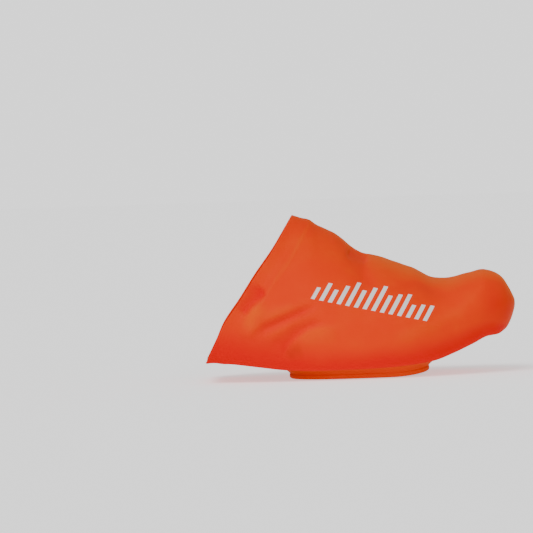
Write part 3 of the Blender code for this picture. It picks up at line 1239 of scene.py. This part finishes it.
@dataclass(frozen=True)
class RubberSurface:
    """The shared surface of dipped latex: fine grain, soft ripples and uneven gloss."""

    grain_detail: float = 2.0
    grain_roughness: float = 0.6
    cloud_scale: float = 60.0
    cloud_detail: float = 3.0
    cloud_roughness: float = 0.5
    ripple_scale: float = 180.0
    ripple_detail: float = 1.0
    ripple_roughness: float = 0.4
    ripple_height: float = 0.06 * MM
    noise_middle: float = 0.5

    def group(self) -> bpy.types.NodeTree:
        """Build the node group.

        Returns:
            A group with a grain size and height, which puts out a bump height and a gloss.
        """
        graph = node_group("rubber_surface", ("Grain Size", "Grain Height"), ("Height", "Gloss"))
        given = graph.add("NodeGroupInput")
        fineness = graph.maths("DIVIDE", 1.0, given.outputs["Grain Size"])
        grain = graph.noise(fineness, self.grain_detail, self.grain_roughness)
        clouds = graph.noise(self.cloud_scale, self.cloud_detail, self.cloud_roughness)
        ripple = graph.noise(self.ripple_scale, self.ripple_detail, self.ripple_roughness)
        height = graph.maths("MULTIPLY", grain, given.outputs["Grain Height"])
        swell = graph.maths("MULTIPLY", ripple, self.ripple_height)
        leave = graph.add("NodeGroupOutput")
        graph.feed(leave.inputs["Height"], graph.maths("ADD", height, swell))
        graph.feed(leave.inputs["Gloss"], graph.maths("SUBTRACT", clouds, self.noise_middle))
        return graph.tree


@dataclass(frozen=True)
class PrintBand:
    """The printed row of slanted bars on the outer side, whose heights swell and fall along it.

    start and end are millimetres from the rear edge and the floor, and tallest is millimetres. The
    bars' heights are shares of it: least, plus a swell over the row and a beat from bar to bar.
    """

    start: tuple[float, float] = (60.5, 47.6)
    end: tuple[float, float] = (129.5, 31.6)
    bars: int = 14
    bar_share: float = 0.50
    slant: float = 0.34
    tallest: float = 15.5
    least: float = 0.42
    swell: float = 0.42
    beat: float = 0.16
    beat_pace: float = 2.1

    def group(self, form: StretchedForm) -> bpy.types.NodeTree:
        """Build the node group that masks the print.

        Args:
            form: The form that it lies on.

        Returns:
            A group that puts out 1 on the print and 0 elsewhere.
        """
        graph = node_group("print_band", ("Softness",), ("Print",))
        maths = graph.maths
        softness = graph.add("NodeGroupInput").outputs["Softness"]
        place = graph.add("ShaderNodeSeparateXYZ", Vector=graph.object_place()).outputs
        start_x, start_z = self.start
        run_x, run_z = self.end[0] - start_x, self.end[1] - start_z
        length = math.hypot(run_x, run_z)
        way_x, way_z = run_x / length, run_z / length
        rear = form.length / 2 / MM
        x = maths("SUBTRACT", maths("DIVIDE", place["X"], MM), start_x - rear)
        z = maths("SUBTRACT", maths("DIVIDE", place["Z"], MM), start_z)
        run = maths("ADD", maths("MULTIPLY", x, way_x), maths("MULTIPLY", z, way_z))
        up = maths("SUBTRACT", maths("MULTIPLY", z, way_x), maths("MULTIPLY", x, way_z))
        pitch = length / self.bars
        leaning = maths("SUBTRACT", run, maths("MULTIPLY", up, self.slant))
        counted = maths("DIVIDE", leaning, pitch)
        number = maths("FLOOR", counted, 0.0)
        within = maths("SUBTRACT", counted, number)
        share = maths("DIVIDE", maths("ADD", number, 0.5), float(self.bars))
        swell = maths("SINE", maths("MULTIPLY", share, math.pi), 0.0)
        beat = maths("SINE", maths("MULTIPLY", number, self.beat_pace), 0.0)
        height = maths("ADD", maths("MULTIPLY", swell, self.swell), self.least)
        height = maths("ADD", height, maths("MULTIPLY", beat, self.beat))
        height = maths("MULTIPLY", height, self.tallest)
        mask = 1.0
        for inside_by in (
            maths("MULTIPLY", maths("SUBTRACT", self.bar_share, within), pitch),
            maths("MULTIPLY", within, pitch),
            maths("SUBTRACT", height, up),
            up,
            counted,
            maths("SUBTRACT", float(self.bars), counted),
            maths("DIVIDE", place["Y"], -MM),
        ):
            mask = maths("MULTIPLY", mask, graph.ramp(inside_by, 0.0, softness))
        graph.feed(graph.add("NodeGroupOutput").inputs["Print"], mask)
        return graph.tree


@dataclass(frozen=True)
class LatexFinish:
    """The colours and surface of the latex, as linear values."""

    name: str = "latex_orange"
    # pale colours the painted highlights, and deep the painted shade, which is partly the latex's
    # own red.
    pale: Colour = (1.0, 0.100, 0.0, 1.0)
    light: Colour = (0.97, 0.042, 0.0, 1.0)
    deep: Colour = (0.87, 0.001, 0.0, 1.0)
    painted_shadow: Colour = (0.42, 0.035, 0.008, 1.0)
    inside: Colour = (0.80, 0.020, 0.0, 1.0)
    print_white: Colour = (0.92, 0.90, 0.86, 1.0)
    light_tone: float = ToneWithPaintedLight.middle
    cloudiness: float = 0.35
    roughness: float = 0.44
    roughness_spread: float = 0.10
    inside_roughness: float = 0.12
    print_roughness: float = 0.50
    print_softness: float = 0.12
    grain: float = 0.4 * MM
    grain_height: float = 0.012 * MM
    specular: float = 0.02
    sheen: float = 0.28
    sheen_roughness: float = 0.30
    sheen_tint: Colour = (1.0, 0.58, 0.0, 1.0)

    def material(
        self, surface: bpy.types.NodeTree, printed: bpy.types.NodeTree | None = None
    ) -> bpy.types.Material:
        """Make the latex.

        Args:
            surface: The shared surface group.
            printed: The mask of the print, where the piece has one.

        Returns:
            The material.
        """
        material = bpy.data.materials.new(self.name)
        material.use_nodes = True
        graph = NodeGraph(material.node_tree)
        maths = graph.maths
        shader = material.node_tree.nodes["Principled BSDF"]
        skin = graph.add(
            "ShaderNodeGroup",
            {"node_tree": surface},
            Grain_Size=self.grain,
            Grain_Height=self.grain_height,
        )
        gloss, inside = skin.outputs["Gloss"], graph.mark("inside")
        # The tone mark carries painted light: its low end paints highlights pale, its high end
        # paints shade deep red, and the cloudy gloss adds random tone.
        tone = maths("ADD", graph.mark("tone"), maths("MULTIPLY", gloss, self.cloudiness))
        colour = graph.mix(graph.ramp(tone, 0.0, self.light_tone), self.pale, self.light)
        colour = graph.mix(graph.ramp(tone, self.light_tone, 1.0), colour, self.deep)
        # A painted shadow in the hollow below the lower fold, mixed towards brown.
        colour = graph.mix(graph.mark("shade"), colour, self.painted_shadow)
        rough = maths("ADD", maths("MULTIPLY", gloss, self.roughness_spread), self.roughness)
        if printed:
            settings = {"node_tree": printed}
            ink = graph.add("ShaderNodeGroup", settings, Softness=self.print_softness)
            ink = maths("MULTIPLY", ink.outputs["Print"], maths("SUBTRACT", 1.0, inside))
            colour = graph.mix(ink, colour, self.print_white)
            rougher = self.print_roughness - self.roughness
            rough = maths("ADD", rough, maths("MULTIPLY", ink, rougher))
        rough = maths("ADD", rough, maths("MULTIPLY", inside, self.inside_roughness))
        bump = graph.add("ShaderNodeBump", Height=skin.outputs["Height"], Strength=1.0)
        graph.feed(bump.inputs["Distance"], 1.0)
        graph.feed(shader.inputs["Base Color"], graph.mix(inside, colour, self.inside))
        graph.feed(shader.inputs["Roughness"], rough)
        graph.feed(shader.inputs["Normal"], bump.outputs["Normal"])
        shader.inputs["Specular IOR Level"].default_value = self.specular
        shader.inputs["Sheen Weight"].default_value = self.sheen
        shader.inputs["Sheen Roughness"].default_value = self.sheen_roughness
        shader.inputs["Sheen Tint"].default_value = self.sheen_tint
        return material


@dataclass
class Studio:
    """The pale floor, the soft lights and the camera. Angles are degrees."""

    form: StretchedForm
    floor_half: float = 12.0
    floor_tone: float = 0.93
    floor_roughness: float = 0.9
    floor_specular: float = 0.1
    floor_glow: float = 0.20
    seen_glow: float = 0.5
    fill_strength: float = 0.34
    backdrop_strength: float = 1.5
    key_strength: float = 1.75
    key_spread: float = 35.0
    key_from: tuple[float, float, float] = (-0.35, -0.55, 0.85)
    low_strength: float = 0.75
    low_spread: float = 60.0
    low_from: tuple[float, float, float] = (0.15, -1.00, 0.18)
    camera_distance: float = 2.2
    azimuth: float = 0.0
    elevation: float = 1.5
    roll: float = 1.93
    aim_from_rear: float = 36.1 * MM
    aim_height: float = 65.6 * MM
    view_width: float = 311.8 * MM
    sensor_mm: float = 36.0
    nearest: float = 0.05
    farthest: float = 60.0

    def floor(self) -> None:
        """Lay a plain pale floor."""
        half = self.floor_half
        corners = [(-half, -half, 0), (half, -half, 0), (half, half, 0), (-half, half, 0)]
        mesh = bpy.data.meshes.new("floor")
        mesh.from_pydata(corners, [], [(0, 1, 2, 3)])
        material = bpy.data.materials.new("floor_pale")
        material.use_nodes = True
        shader = material.node_tree.nodes["Principled BSDF"]
        shader.inputs["Base Color"].default_value = (self.floor_tone,) * 3 + (1.0,)
        shader.inputs["Roughness"].default_value = self.floor_roughness
        shader.inputs["Specular IOR Level"].default_value = self.floor_specular
        shader.inputs["Emission Color"].default_value = WHITE
        graph = NodeGraph(material.node_tree)
        seen = graph.add("ShaderNodeLightPath").outputs["Is Camera Ray"]
        glow = graph.maths("ADD", graph.maths("MULTIPLY", seen, self.seen_glow), self.floor_glow)
        graph.feed(shader.inputs["Emission Strength"], glow)
        mesh.materials.append(material)
        floor = link("floor", mesh)

    def sun(
        self, name: str, way: tuple[float, float, float], strength: float, spread: float
    ) -> None:
        """Shine one wide, soft light.

        Args:
            name: Its name.
            way: The direction that it comes from.
            strength: Its strength.
            spread: The angle that it fills.
        """
        data = bpy.data.lights.new(name, "SUN")
        data.angle = math.radians(spread)
        data.energy = strength
        lamp = link(name, data)
        lamp.rotation_euler = (-Vector(way)).to_track_quat("-Z", "Y").to_euler()

    def lights(self) -> None:
        """Light the scene softly all round, from above and from low at the outer side."""
        world = bpy.data.worlds.new("studio_world")
        world.use_nodes = True
        graph = NodeGraph(world.node_tree)
        backdrop = world.node_tree.nodes["Background"]
        backdrop.inputs["Color"].default_value = WHITE
        seen = graph.add("ShaderNodeLightPath").outputs["Is Camera Ray"]
        more = graph.maths("MULTIPLY", seen, self.backdrop_strength - self.fill_strength)
        graph.feed(backdrop.inputs["Strength"], graph.maths("ADD", more, self.fill_strength))
        bpy.context.scene.world = world
        self.sun("key_light", self.key_from, self.key_strength, self.key_spread)
        self.sun("low_light", self.low_from, self.low_strength, self.low_spread)

    def camera(self) -> None:
        """Place the camera square to the outer side, rolled as the photograph is."""
        data = bpy.data.cameras.new("camera")
        data.sensor_width = self.sensor_mm
        data.lens = self.sensor_mm * self.camera_distance / self.view_width
        data.clip_start = self.nearest
        data.clip_end = self.farthest
        aim = Vector((self.aim_from_rear - self.form.length / 2, 0.0, self.aim_height))
        a, e = math.radians(self.azimuth), math.radians(self.elevation)
        back = Vector((math.sin(a) * math.cos(e), -math.cos(a) * math.cos(e), math.sin(e)))
        turn = (-back).to_track_quat("-Z", "Y").to_matrix().to_4x4()
        roll = Matrix.Rotation(math.radians(-self.roll), 4, "Z")
        camera = link("camera", data)
        camera.matrix_world = Matrix.Translation(aim + back * self.camera_distance) @ turn @ roll
        bpy.context.scene.camera = camera

    def build(self) -> None:
        """Set up the whole studio."""
        self.floor()
        self.lights()
        self.camera()


def main() -> None:
    """Build the cover's pieces in order, then the studio."""
    logging.basicConfig(level=logging.INFO, format="%(message)s")
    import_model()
    form = StretchedForm()
    opening = Opening(form)
    hem = Hem()
    surface = RubberSurface().group()
    latex = LatexFinish().material(surface)
    printed_latex = LatexFinish(name="latex_printed").material(surface, PrintBand().group(form))
    Upper(form, hem).dress(printed_latex)
    SolePanel(form, opening, hem).dress(latex)
    RolledRim(opening).dress(latex)
    Studio(form).build()


if __name__ == "__main__":
    main()
